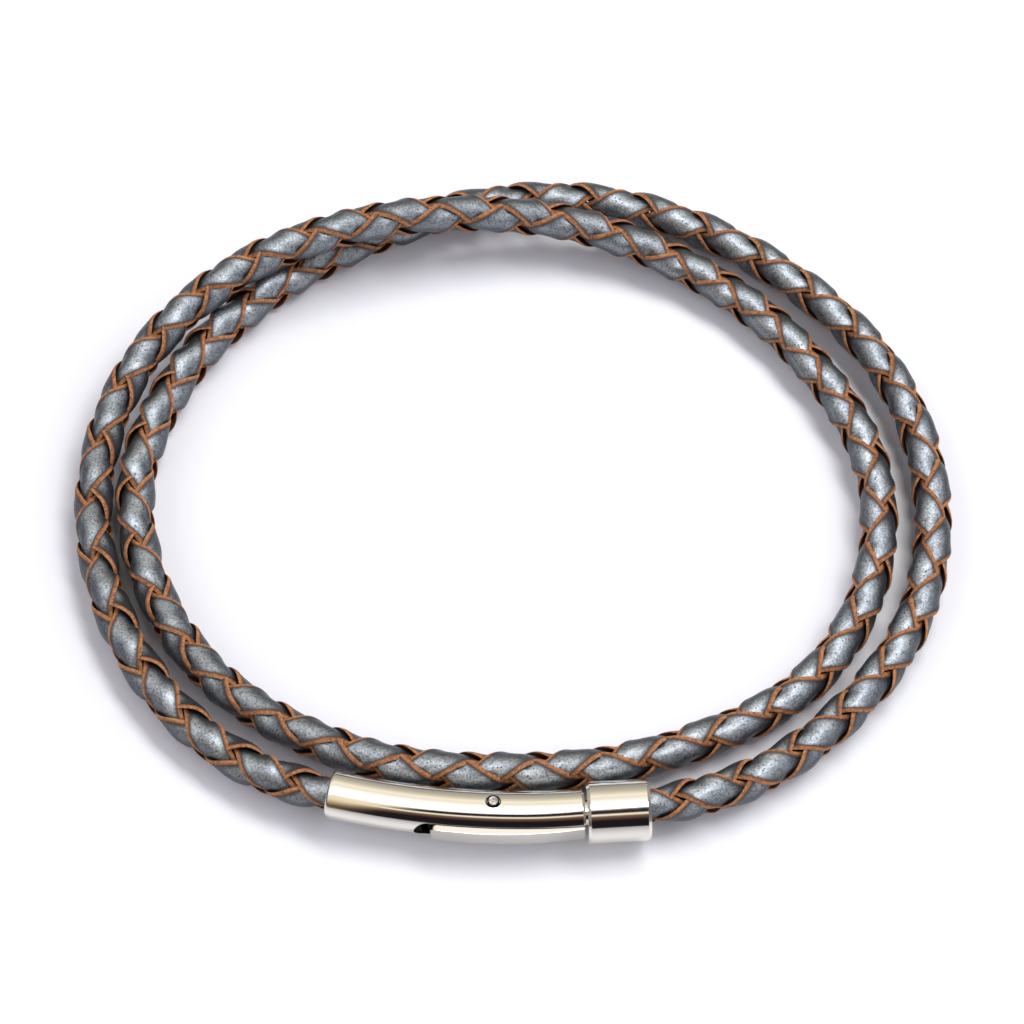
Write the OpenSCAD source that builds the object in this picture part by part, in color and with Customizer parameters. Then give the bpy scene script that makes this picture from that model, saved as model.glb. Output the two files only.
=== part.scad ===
// Double-wrap bracelet: one round cord braided from four leather strands,
// closed by a steel clasp with a press lever. It lies flat, as it does on a
// table, and its base stands at z = 0. The clasp is at the front, towards -Y.

/* [Cord] */
// Diameter of the braided cord
cord_d = 3.0; // [2.9:0.05:3.05]
// Length of cord in which one strand goes once round
turn_l = 9.4; // [8.6:0.2:12]
// How far the cord is squeezed inside the clasp, as a share of its size
squeeze = 0.88; // [0.8:0.02:0.9]

/* [Clasp] */
// Radius of the clasp's gentle bend, seen from above
bend_r = 57.5; // [50:0.5:70]
// Length of the barrel along its bend
barrel_l = 17.9; // [17.5:0.1:18.5]
// Outer diameter of the barrel
barrel_d = 3.4; // [3.3:0.05:3.5]
// Diameter of the sockets that hold the cord
socket_d = 2.8; // [2.7:0.05:2.85]
// Depth of the barrel's socket
socket_l = 4.8; // [4:0.1:5]
// Diameter of the end ring
ring_d = 4.5; // [4.2:0.1:4.8]
// Length of the end ring
ring_l = 4.6; // [4.4:0.1:5]
// Depth of the end ring's socket
ring_socket_l = 3.2; // [2.6:0.1:3.4]
// Gap between the barrel and the end ring
seam = 0.26; // [0.2:0.02:0.4]
// Diameter of the tongue that plugs into the barrel
tongue_d = 1.8; // [1.6:0.05:1.8]

/* [Lever] */
// Height of the lever bar
lever_h = 1.75; // [1.6:0.05:1.8]
// Radius of the lever's bowed outer face
lever_bow_r = 35.3; // [34.5:0.1:36]
// How far the bow stands out in front of the barrel's axis
lever_reach = 1.89; // [1.8:0.01:1.95]
// Diameter of the lever's pin
pin_d = 0.84; // [0.7:0.02:0.9]
// Clearance round the pin
pin_gap = 0.04; // [0.02:0.01:0.08]

/* [Hidden] */
$fn = 64;
BEND_FN = 720;
EPS = 0.01;

// Centre of the clasp's bend, seen from above, and the height of its axis
bend_x = 0.7;
bend_y = bend_r - 25.8;
axis_z = ring_d / 2;

// Angles along the bend, counted from the front towards the right
DEG = 180 / PI / bend_r;
barrel_end = 4.26;
barrel_start = barrel_end - barrel_l * DEG;
ring_start = barrel_end + seam * DEG;
ring_mid = ring_start + ring_l / 2 * DEG;
cord_start = barrel_start + (socket_l - 0.15) * DEG;
cord_end = ring_start + (ring_l - ring_socket_l + 0.15) * DEG;

// Where the lever turns, and the ends of its bar and slot
pin_angle = -2.01;
pin_inset = 0.36;
nose_angle = -6.25;
slot_angle = -6.4;
slot_h = lever_h + 0.16;
hook_angle = 3.3;
hook_w = 0.9;
eye_d = 1.4;
bow_angle = -2.6;

// Route of the cord's middle where it lies free. Bearings run clockwise from
// the front, seen from above, and pass 360 where the second round begins.
// Columns: bearing, distance from the centre, height.
FREE = [
    [40, 28.65, 1.75],
    [53, 29.65, 1.52],
    [70, 30.65, 1.52],
    [90, 31.2, 1.62],
    [110, 30.4, 2.65],
    [130, 27.7, 4.15],
    [150, 25.0, 4.7],
    [170, 23.65, 4.15],
    [190, 23.6, 3.0],
    [215, 24.1, 1.7],
    [240, 25.2, 1.52],
    [270, 27.15, 1.52],
    [300, 26.65, 1.52],
    [330, 23.6, 1.52],
    [360, 22.3, 1.52],
    [390, 23.8, 1.52],
    [420, 26.4, 1.52],
    [450, 27.95, 1.52],
    [470, 27.35, 1.52],
    [490, 26.15, 1.52],
    [510, 25.4, 1.52],
    [530, 25.65, 1.52],
    [555, 26.9, 1.52],
    [585, 28.4, 1.52],
    [615, 30.7, 1.52],
    [645, 31.1, 1.52],
    [670, 29.45, 1.52],
    [685, 28.3, 1.8],
];

// How far the braid is turned about its own axis along the route.
// Columns: bearing, degrees from the outer side towards the top.
ROLL = [[0, 50], [90, 55], [180, 30], [270, 20], [360, 17], [450, 40], [540, 40], [720, 20]];

// Section of a strand where it lies on top and where it passes below.
// Columns: distance of its middle from the cord's axis, half width,
// height of the crown, depth of the back, height of the edges below the middle.
ON_TOP = [1.225, 1.0, 0.27, 0.31, 0.14];
BELOW = [0.49, 0.38, 0.35, 0.44, 0.14];
// Degrees by which a strand lags behind an even turn while it lies on top
LAG = 21;
// Degrees by which a strand leans as it climbs and dives
LEAN = 17;
// Sections in one turn of a strand
STEPS = 14;

// Helpers
function unit(v) = v / norm(v);
function ease(t) = let (c = min(1, max(0, t))) c * c * (3 - 2 * c);

// A point of the clasp's axis, at an angle along the bend
function bend_point(angle, r = bend_r) =
    [bend_x + r * sin(angle), bend_y - r * cos(angle), axis_z];

// The same point as a row of the route, at bearing b
function bearing_of(angle) = let (p = bend_point(angle)) atan2(-p.x, -p.y);
function clasp_row(angle, turn) =
    let (p = bend_point(angle)) [bearing_of(angle) + turn, norm([p.x, p.y]), axis_z];

ROUTE = concat(
    [for (a = [cord_start + 2, cord_start, cord_start - 2.4, barrel_start]) clasp_row(a, 0)],
    FREE,
    [for (a = [ring_start + ring_l * DEG, cord_end + 1.4, cord_end, cord_end - 2]) clasp_row(a, 720)]);

// A smooth curve through the route's rows, column k
function row_at(b, i = 0) =
    i >= len(ROUTE) - 2 || b < ROUTE[i + 1][0] ? i : row_at(b, i + 1);
function slope(i, k) =
    let (lo = max(0, i - 1), hi = min(len(ROUTE) - 1, i + 1))
    (ROUTE[hi][k] - ROUTE[lo][k]) / (ROUTE[hi][0] - ROUTE[lo][0]);
function smooth(b, k) =
    let (i = row_at(b), h = ROUTE[i + 1][0] - ROUTE[i][0], t = (b - ROUTE[i][0]) / h)
    (2 * t ^ 3 - 3 * t ^ 2 + 1) * ROUTE[i][k] + (t ^ 3 - 2 * t ^ 2 + t) * h * slope(i, k)
    + (3 * t ^ 2 - 2 * t ^ 3) * ROUTE[i + 1][k] + (t ^ 3 - t ^ 2) * h * slope(i + 1, k);
function place(b) =
    let (r = smooth(b, 1)) [-r * sin(b), -r * cos(b), smooth(b, 2)];

// Length run along the cord, against the bearing
first_b = bearing_of(cord_start);
last_b = bearing_of(cord_end) + 720;
SPANS = 360;
MARKS = [for (i = [0:SPANS]) first_b + (last_b - first_b) * i / SPANS];
PLACES = [for (b = MARKS) place(b)];
RUN = [for (i = 0, s = 0; i <= SPANS;
    s = s + (i < SPANS ? norm(PLACES[i + 1] - PLACES[i]) : 0), i = i + 1) [s, MARKS[i]]];
cord_l = RUN[SPANS][0];

// The cord's size along its length, smaller inside the two sockets
function size_at(s) =
    let (left = ease((s - socket_l) / 3), right = ease((cord_l - s - ring_socket_l) / 3))
    cord_d / 3 * (squeeze + (1 - squeeze) * left * right);

// The four corners of a strand's section: crown, leading edge, back, trailing edge
function corners(phase) =
    let (m = BELOW + (ON_TOP - BELOW) * (1 + cos(2 * phase)) / 2)
    let (turn = phase - LAG * sin(2 * phase), lean = turn + LEAN * sin(2 * phase))
    let (mid = m[0] * [cos(turn), sin(turn)])
    let (n = [cos(lean), sin(lean)], w = [-sin(lean), cos(lean)])
    [mid + n * m[2], mid + w * m[1] - n * m[4], mid - n * m[3], mid - w * m[1] - n * m[4]];

// One strand's section in place: crossed strands run the other way round
function ring_of(s, phase, crossed) =
    let (b = lookup(s, RUN), p = place(b), along = unit(place(b + 0.5) - place(b - 0.5)))
    let (out = unit(cross([0, 0, 1], along)), up = cross(along, out))
    let (roll = lookup(b, ROLL), size = size_at(s))
    [for (c = corners(phase + 360 * s / turn_l + (crossed ? 90 : 0)))
        let (q = (crossed ? [c.y, c.x] : c) * size)
        p + out * (q.x * cos(roll) - q.y * sin(roll)) + up * (q.x * sin(roll) + q.y * cos(roll))];

// One strand of the braid, from the barrel's socket to the ring's socket
module strand(phase, crossed) {
    count = floor(cord_l / turn_l * STEPS);
    rings = [for (i = [0:count]) ring_of(i * cord_l / count, phase, crossed)];
    walls = [for (i = [0:count - 1], j = [0:3])
        let (a = 4 * i + j, b = 4 * i + (j + 1) % 4)
        each [[a, b, b + 4], [a, b + 4, a + 4]]];
    ends = [[3, 2, 1, 0], [for (j = [0:3]) 4 * count + j]];
    faces = [for (f = concat(walls, ends)) crossed ? f : [for (k = [len(f) - 1:-1:0]) f[k]]];
    polyhedron(points = [for (r = rings) each r], faces = faces, convexity = 10);
}

// A flat shape drawn out along the clasp's bend, between two angles
module bent(from, to) {
    translate([bend_x, bend_y, axis_z])
        rotate([0, 0, from - 90])
            rotate_extrude(angle = to - from, $fn = BEND_FN)
                translate([bend_r, 0])
                    children();
}

// A square-edged band along the bend, from r outwards
module bent_band(r, depth, height, from, to) {
    translate([bend_x, bend_y, axis_z - height / 2])
        rotate([0, 0, from - 90])
            rotate_extrude(angle = to - from, $fn = BEND_FN)
                translate([r, 0])
                    square([depth, height]);
}

// Children built along +Z stand at an angle of the bend and point along it
module along_bend(angle) {
    translate(bend_point(angle))
        rotate([0, 90, angle])
            children();
}

// Where the lever turns
module at_pin() {
    translate([bend_point(pin_angle, bend_r - pin_inset).x,
        bend_point(pin_angle, bend_r - pin_inset).y, axis_z])
        children();
}

// Barrel: holds one end of the cord, and carries the lever in a slot
module clasp_barrel() {
    color("silver")
        difference() {
            bent(barrel_start, barrel_end) circle(d = barrel_d, $fn = 48);
            bent(barrel_start - 1, barrel_start + socket_l * DEG) circle(d = socket_d, $fn = 48);
            bent(slot_angle, barrel_end + 1) circle(d = tongue_d + 0.1, $fn = 48);
            bent_band(bend_r, 3, slot_h, slot_angle, barrel_end + 1);
            translate(bend_point(slot_angle))
                rotate([90, 0, slot_angle])
                    cylinder(d = slot_h, h = 3);
            at_pin() cylinder(d = eye_d + 0.22, h = slot_h, center = true);
            at_pin() cylinder(d = pin_d + 2 * pin_gap, h = 2 * barrel_d, center = true);
            along_bend(barrel_start)
                bevel(barrel_d / 2, 0.14);
        }
}

// Cuts the outer edge off a round end that stands at height 0
module bevel(r, depth) {
    rotate_extrude($fn = 48)
        polygon([[r - depth - 0.1, -0.1], [r + 0.1, -0.1], [r + 0.1, depth + 0.1]]);
}

// Pin that the lever turns on, riveted flush at both ends
module lever_pin() {
    color("gray")
        at_pin() cylinder(d = pin_d, h = barrel_d - 0.06, center = true);
}

// Lever: a bowed bar in the barrel's slot, with an eye on the pin and a hook
module clasp_lever() {
    color("gainsboro")
        difference() {
            union() {
                difference() {
                    intersection() {
                        translate(bend_point(bow_angle, bend_r + lever_reach - lever_bow_r))
                            cylinder(r = lever_bow_r, h = lever_h, center = true, $fn = BEND_FN);
                        bent_band(bend_r + tongue_d / 2 + 0.1, 4, lever_h, nose_angle, barrel_end - 0.06);
                    }
                    nose_trim(1);
                    nose_trim(-1);
                }
                at_pin() cylinder(d = eye_d, h = lever_h, center = true);
                web();
                hook();
            }
            at_pin() cylinder(d = pin_d + 2 * pin_gap, h = 2 * barrel_d, center = true);
        }
}

// Rounds the nose of the lever, seen from in front: side 1 is the top, -1 the bottom
module nose_trim(side) {
    r = 0.5;
    middle = side * (lever_h / 2 - r);
    translate(bend_point(nose_angle, bend_r - 1))
        rotate([90, 0, nose_angle])
            difference() {
                translate([-1, side > 0 ? middle : middle - 1, 0]) cube([1 + r, 1, 5]);
                translate([r, middle, -EPS]) cylinder(r = r, h = 6);
            }
}

// Joins the lever's eye to its bar
module web() {
    at_pin()
        rotate([0, 0, pin_angle])
            translate([-0.5, -pin_inset - tongue_d / 2 - 0.35, -lever_h / 2])
                cube([1, pin_inset + tongue_d / 2, lever_h]);
}

// Catches in the tongue's groove
module hook() {
    bent_band(bend_r + 0.64, 0.6, lever_h,
        hook_angle - hook_w / 2 * DEG, hook_angle + hook_w / 2 * DEG);
}

// End ring: holds the other end of the cord, and its tongue plugs in
module clasp_ring() {
    groove = hook_w + 0.5;
    color("silver") {
        along_bend(ring_mid)
            rotate_extrude()
                polygon([
                    [0, -ring_l / 2],
                    [ring_d / 2 - 0.14, -ring_l / 2],
                    [ring_d / 2, 0.14 - ring_l / 2],
                    [ring_d / 2, ring_l / 2 - 0.14],
                    [ring_d / 2 - 0.14, ring_l / 2],
                    [socket_d / 2 + 0.1, ring_l / 2],
                    [socket_d / 2, ring_l / 2 - 0.1],
                    [socket_d / 2, ring_l / 2 - ring_socket_l],
                    [0, ring_l / 2 - ring_socket_l],
                ]);
        difference() {
            bent(-0.6, ring_start + 0.6 * DEG) circle(d = tongue_d, $fn = 48);
            bent_band(bend_r + 0.52, 1, 3,
                hook_angle - groove / 2 * DEG, hook_angle + groove / 2 * DEG);
        }
    }
}

module strand_1() {
    color("slategray") strand(0, false);
}

module strand_2() {
    color("slategray") strand(0, true);
}

module strand_3() {
    color("slategray") strand(180, false);
}

module strand_4() {
    color("slategray") strand(180, true);
}

clasp_barrel();
clasp_lever();
lever_pin();
clasp_ring();
strand_1();
strand_2();
strand_3();
strand_4();
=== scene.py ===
"""Looks of the double-wrap braided bracelet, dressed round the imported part.

The braid is four leather strips that a Geometry Nodes tree lays along the cord's
route, and the clasp is polished steel. Lengths are in metres unless a name says mm.
"""

import logging
import math
from collections.abc import Callable
from dataclasses import dataclass
from enum import Enum
from typing import Any

import bmesh
import bpy
from mathutils import Matrix, Vector


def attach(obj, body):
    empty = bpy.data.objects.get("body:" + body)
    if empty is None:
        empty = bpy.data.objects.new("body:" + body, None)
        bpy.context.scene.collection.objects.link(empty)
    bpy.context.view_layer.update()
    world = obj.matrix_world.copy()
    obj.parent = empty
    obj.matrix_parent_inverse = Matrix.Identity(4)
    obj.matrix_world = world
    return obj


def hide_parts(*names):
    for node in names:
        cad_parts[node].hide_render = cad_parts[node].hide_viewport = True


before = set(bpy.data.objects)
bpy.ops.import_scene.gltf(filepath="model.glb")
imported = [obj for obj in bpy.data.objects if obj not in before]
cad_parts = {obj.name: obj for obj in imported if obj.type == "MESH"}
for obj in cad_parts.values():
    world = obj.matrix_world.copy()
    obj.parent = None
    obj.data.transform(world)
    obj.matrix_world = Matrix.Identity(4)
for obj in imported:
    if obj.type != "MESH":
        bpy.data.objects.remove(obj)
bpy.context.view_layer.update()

MM = 0.001
LOG = logging.getLogger("bracelet")


def linked(name: str, data: Any) -> bpy.types.Object:
    """Makes an object with this data and puts it in the scene."""
    made = bpy.data.objects.new(name, data)
    bpy.context.scene.collection.objects.link(made)
    return made


# Nodes and maths


class Value:
    """A node's output that takes part in Python maths; each step adds one node."""

    def __init__(self, work: "NodeWork", socket: bpy.types.NodeSocket) -> None:
        """Wraps one output socket of a tree."""
        self.work = work
        self.socket = socket

    def out(self, name: str | int) -> "Value":
        """Another output of the same node."""
        return Value(self.work, self.socket.node.outputs[name])

    def step(self, operation: str, *terms: "Value | float") -> "Value":
        """Adds one Math node.

        Args:
            operation: The Math node's operation.
            terms: Its inputs, in order.

        Returns:
            The node's result.
        """
        return self.work.add("ShaderNodeMath", {"operation": operation}, dict(enumerate(terms)))

    def __add__(self, other: "Value | float") -> "Value":
        """Sum."""
        return self.step("ADD", self, other)

    def __radd__(self, other: float) -> "Value":
        """Sum with a number on the left."""
        return self.step("ADD", other, self)

    def __sub__(self, other: "Value | float") -> "Value":
        """Difference."""
        return self.step("SUBTRACT", self, other)

    def __rsub__(self, other: float) -> "Value":
        """Difference with a number on the left."""
        return self.step("SUBTRACT", other, self)

    def __mul__(self, other: "Value | float") -> "Value":
        """Product."""
        return self.step("MULTIPLY", self, other)

    def __rmul__(self, other: float) -> "Value":
        """Product with a number on the left."""
        return self.step("MULTIPLY", other, self)

    def __truediv__(self, other: "Value | float") -> "Value":
        """Quotient."""
        return self.step("DIVIDE", self, other)

    def __neg__(self) -> "Value":
        """The same value with its sign turned."""
        return self.step("MULTIPLY", self, -1.0)

    def above(self, edge: "Value | float") -> "Value":
        """1 where this is greater than the edge, else 0."""
        return self.step("GREATER_THAN", self, edge)

    def below(self, edge: "Value | float") -> "Value":
        """1 where this is less than the edge, else 0."""
        return self.step("LESS_THAN", self, edge)

    def sin(self) -> "Value":
        """Sine, in radians."""
        return self.step("SINE", self)

    def cos(self) -> "Value":
        """Cosine, in radians."""
        return self.step("COSINE", self)

    def floor(self) -> "Value":
        """Whole part."""
        return self.step("FLOOR", self)

    def ramp(self, start: float, end: float) -> "Value":
        """Smooth climb from 0 at start to 1 at end."""
        return self.work.add("ShaderNodeMapRange", {"interpolation_type": "SMOOTHSTEP"},
                             {"Value": self, "From Min": start, "From Max": end})


class NodeWork:
    """Adds nodes to one tree, with their settings and their inputs."""

    def __init__(self, tree: bpy.types.NodeTree) -> None:
        """Works on this tree."""
        self.tree = tree

    def add(self, kind: str, settings: dict[str, Any] | None = None,
            inputs: dict[str | int, Any] | None = None, output: str | int = 0) -> Value:
        """Makes one node.

        Args:
            kind: The node's type.
            settings: Properties, set first; "stops" are a ramp's places and colours.
            inputs: Socket name or number to a value or a link.
            output: The output that is handed back.

        Returns:
            That output, ready for maths.
        """
        node = self.tree.nodes.new(kind)
        for name, value in (settings or {}).items():
            if name == "stops":
                self._set_stops(node.color_ramp, value)
            else:
                setattr(node, name, value)
        for key, value in (inputs or {}).items():
            if isinstance(value, Value):
                self.tree.links.new(value.socket, node.inputs[key])
            else:
                node.inputs[key].default_value = value
        return Value(self, node.outputs[output]) if node.outputs else Value(self, node.inputs[0])

    @staticmethod
    def _set_stops(ramp: bpy.types.ColorRamp, stops: list[tuple[float, tuple]]) -> None:
        """Gives a colour ramp its places and colours."""
        while len(ramp.elements) < len(stops):
            ramp.elements.new(0.5)
        for element, (place, colour) in zip(ramp.elements, stops):
            element.position = place
            element.color = (*colour, 1.0)

    def vector(self, operation: str, *terms: Any, output: str | int = 0) -> Value:
        """One Vector Math node; its second output is a plain number."""
        return self.add("ShaderNodeVectorMath", {"operation": operation},
                        dict(enumerate(terms)), output)

    def scaled(self, vector: Value, by: Value | float) -> Value:
        """A vector times a number."""
        return self.add("ShaderNodeVectorMath", {"operation": "SCALE"},
                        {"Vector": vector, "Scale": by})

    def colour(self, share: Value | float, first: Any, second: Any) -> Value:
        """Mixes two colours.

        Args:
            share: How much of the second colour shows.
            first: A colour of three numbers, or a link.
            second: The same.

        Returns:
            The mixed colour.
        """
        a, b = ((*c, 1.0) if isinstance(c, tuple) else c for c in (first, second))
        return self.add("ShaderNodeMix", {"data_type": "RGBA"}, {0: share, 6: a, 7: b}, 2)


def fresh_material(name: str) -> tuple[bpy.types.Material, NodeWork]:
    """Makes an empty material, and the node work that fills it."""
    made = bpy.data.materials.new(name)
    made.use_nodes = True
    made.node_tree.nodes.clear()
    return made, NodeWork(made.node_tree)


# The cord's route


@dataclass(frozen=True)
class ClaspBend:
    """The gentle bend that the clasp follows, seen from above, in millimetres."""

    radius: float = 57.5
    middle_x: float = 0.7
    front: float = 25.8
    height: float = 2.25
    barrel_end: float = 4.36
    barrel_l: float = 18.0
    socket_l: float = 4.8
    seam: float = 0.16
    ring_l: float = 4.42
    ring_socket_l: float = 3.1
    ring_lie: float = 3.3
    ring_drop: float = 0.05
    cord_play: float = 0.15

    @property
    def degrees(self) -> float:
        """Degrees along the bend for one millimetre."""
        return math.degrees(1 / self.radius)

    @property
    def barrel_start(self) -> float:
        """Angle of the barrel's open end."""
        return self.barrel_end - self.barrel_l * self.degrees

    @property
    def ring_start(self) -> float:
        """Angle of the end ring's near face."""
        return self.barrel_end + self.seam * self.degrees

    @property
    def cord_start(self) -> float:
        """Angle where the cord's first end sits in the barrel."""
        return self.barrel_start + (self.socket_l - self.cord_play) * self.degrees

    @property
    def cord_end(self) -> float:
        """Angle where the cord's other end sits in the ring."""
        depth = self.ring_l - self.ring_socket_l + self.cord_play
        return self.ring_start + depth * self.degrees

    def at(self, angle: float, outward: float = 0.0, up: float = 0.0,
           ahead: float = 0.0) -> Vector:
        """A point by the bend, in millimetres.

        Args:
            angle: Degrees along the bend, from the front towards the right.
            outward: Distance from the bend's line, away from its middle.
            up: Height above the line.
            ahead: Distance straight on, past the angle.

        Returns:
            The point.
        """
        a, r = math.radians(angle), self.radius + outward
        x = self.middle_x + r * math.sin(a) + ahead * math.cos(a)
        y = self.radius - self.front - r * math.cos(a) + ahead * math.sin(a)
        return Vector((x, y, self.height + up))

    def on_barrel(self, along: float, outward: float, up: float) -> Vector:
        """A point by the barrel, counted from its open end."""
        return self.at(self.barrel_start + along * self.degrees, outward, up)

    def on_ring(self, along: float, outward: float, up: float) -> Vector:
        """A point by the end ring, which is straight, counted from its middle."""
        a = math.radians(self.ring_lie)
        ahead = self.seam + self.ring_l / 2 + along
        across = Vector((math.sin(a), -math.cos(a), 0)) * outward
        return self.at(self.barrel_end) + Vector((math.cos(a), math.sin(a), 0)) * ahead \
            + across + Vector((0, 0, up - self.ring_drop))

    def row(self, angle: float, turn: float) -> tuple[float, float, float]:
        """A point of the bend as a row of the route.

        Args:
            angle: Degrees along the bend, from the front towards the right.
            turn: Degrees added to the bearing.

        Returns:
            Bearing, distance from the centre and height.
        """
        a = math.radians(angle)
        x = self.middle_x + self.radius * math.sin(a)
        y = self.radius * (1 - math.cos(a)) - self.front
        return math.degrees(math.atan2(-x, -y)) + turn, math.hypot(x, y), self.height


@dataclass(frozen=True)
class CordRoute:
    """The line that the cord's middle follows, as in the part's source.

    It lies a little higher than there, because the strips are fuller than the solids, and
    its left side keeps closer to the photograph. Bearings run clockwise from the front,
    seen from above, and pass 360 where the second round begins. Rows hold bearing,
    distance from the centre and height, and rows of the lay hold bearing, degrees of
    roll and millimetres of pull.
    """

    bend: ClaspBend = ClaspBend()
    cord_d: float = 3.0
    squeeze: float = 0.88
    free: tuple[tuple[float, float, float], ...] = (
        (40, 28.65, 1.75), (53, 29.65, 1.57), (70, 30.5, 1.57), (90, 31.03, 1.67),
        (110, 30.25, 2.65), (130, 27.7, 4.15), (150, 25.0, 4.7), (170, 23.65, 4.15),
        (190, 23.6, 3.0), (215, 24.1, 1.7), (240, 25.2, 1.57), (270, 27.15, 1.57),
        (300, 26.65, 1.57), (330, 23.6, 1.57), (360, 22.3, 1.57), (390, 23.8, 1.57),
        (420, 26.45, 1.57), (450, 27.98, 1.57), (470, 27.27, 1.57), (490, 26.1, 1.57),
        (510, 25.4, 1.57), (530, 25.65, 1.57), (555, 26.9, 1.57), (585, 28.4, 1.57),
        (615, 30.7, 1.57), (645, 31.1, 1.57), (670, 29.45, 1.57), (685, 28.3, 1.8))
    lay: tuple[tuple[float, float, float], ...] = (
        (20, 70, 0), (40, 75, 0), (55, 83, -0.3), (80, 75, -0.7), (118, 98, -1.0),
        (140, 91, -0.9), (165, 75, -0.9), (205, 84, -1.0), (250, 64, -0.6), (270, 64, -0.4),
        (305, 54, -0.8), (330, 43, -0.8), (362, 28, -1.0), (382, 20, -1.0), (420, 19, -1.0),
        (436, 4, -0.8), (453, -5, -0.6), (478, 0, -0.5), (504, -1, -0.2), (532, 23, -0.5),
        (575, 39, -0.7), (630, 40, -1.0), (650, 54, -0.9), (674, 77, -0.4), (700, 77, -0.1))
    spans: int = 900

    def rows(self) -> list[tuple[float, float, float]]:
        """The route's rows, with rows of the clasp's bend at both ends and past them."""
        bend = self.bend
        first = (bend.cord_start + 2, bend.cord_start, bend.cord_start - 2.4, bend.barrel_start)
        last = (bend.ring_start + bend.ring_l * bend.degrees, bend.cord_end + 1.4,
                bend.cord_end, bend.cord_end - 2)
        return ([bend.row(a, 0) for a in first] + list(self.free)
                + [bend.row(a, 720) for a in last])

    @staticmethod
    def smooth(rows: list[tuple[float, float, float]], bearing: float, column: int) -> float:
        """A smooth curve through one column of the rows.

        Args:
            rows: The route's rows.
            bearing: Where the curve is read.
            column: The column that is read.

        Returns:
            The column's value there.
        """
        i = max(k for k in range(len(rows) - 1) if k == 0 or bearing >= rows[k][0])

        def slope(k: int) -> float:
            """Slope at row k, from its two neighbours."""
            lo, hi = max(0, k - 1), min(len(rows) - 1, k + 1)
            return (rows[hi][column] - rows[lo][column]) / (rows[hi][0] - rows[lo][0])

        h = rows[i + 1][0] - rows[i][0]
        t = (bearing - rows[i][0]) / h
        return ((2 * t**3 - 3 * t**2 + 1) * rows[i][column] + (t**3 - 2 * t**2 + t) * h * slope(i)
                + (3 * t**2 - 2 * t**3) * rows[i + 1][column] + (t**3 - t**2) * h * slope(i + 1))

    def lay_at(self, bearing: float) -> tuple[float, float]:
        """How the braid lies at a bearing.

        Args:
            bearing: Where along the route.

        Returns:
            Its turn about its own axis in radians, and how far its pattern is pulled
            back along the cord in millimetres.
        """
        if bearing <= self.lay[0][0]:
            return math.radians(self.lay[0][1]), self.lay[0][2]
        for (b0, r0, p0), (b1, r1, p1) in zip(self.lay, self.lay[1:]):
            if bearing <= b1:
                t = (bearing - b0) / (b1 - b0)
                return math.radians(r0 + (r1 - r0) * t), p0 + (p1 - p0) * t
        return math.radians(self.lay[-1][1]), self.lay[-1][2]

    def points(self) -> list[tuple[Vector, float]]:
        """The route's points in metres, each with its bearing."""
        rows = self.rows()
        first = self.bend.row(self.bend.cord_start, 0)[0]
        last = self.bend.row(self.bend.cord_end, 720)[0]
        found = []
        for i in range(self.spans + 1):
            bearing = first + (last - first) * i / self.spans
            a, r = math.radians(bearing), self.smooth(rows, bearing, 1)
            place = Vector((-r * math.sin(a), -r * math.cos(a), self.smooth(rows, bearing, 2)))
            found.append((place * MM, bearing))
        return found

    def guide(self) -> bpy.types.Object:
        """The route as a chain of edges that carries its lay.

        Returns:
            An object whose attribute "lay" holds roll, size and pull at each point.
        """
        points = self.points()
        runs = [0.0]
        for (a, _), (b, _) in zip(points, points[1:]):
            runs.append(runs[-1] + (b - a).length / MM)
        total = runs[-1]

        def ease(t: float) -> float:
            """Smooth climb from 0 to 1."""
            t = min(1.0, max(0.0, t))
            return t * t * (3 - 2 * t)

        mesh = bpy.data.meshes.new("cord_guide")
        mesh.from_pydata([p for p, _ in points], [(i, i + 1) for i in range(self.spans)], [])
        lay = mesh.attributes.new("lay", "FLOAT_VECTOR", "POINT")
        for i, ((_, bearing), run) in enumerate(zip(points, runs)):
            free = (ease((run - self.bend.socket_l) / 3)
                    * ease((total - run - self.bend.ring_socket_l) / 3))
            size = self.cord_d / 3 * (self.squeeze + (1 - self.squeeze) * free)
            roll, pull = self.lay_at(bearing)
            lay.data[i].vector = (roll, size * MM, pull * MM)
        LOG.info("cord route: %.1f mm", total)
        return linked("cord_guide", mesh)


# The braid


class Hand(Enum):
    """Which way a strip runs round the cord."""

    ALONG = 0
    CROSSED = 1


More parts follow.
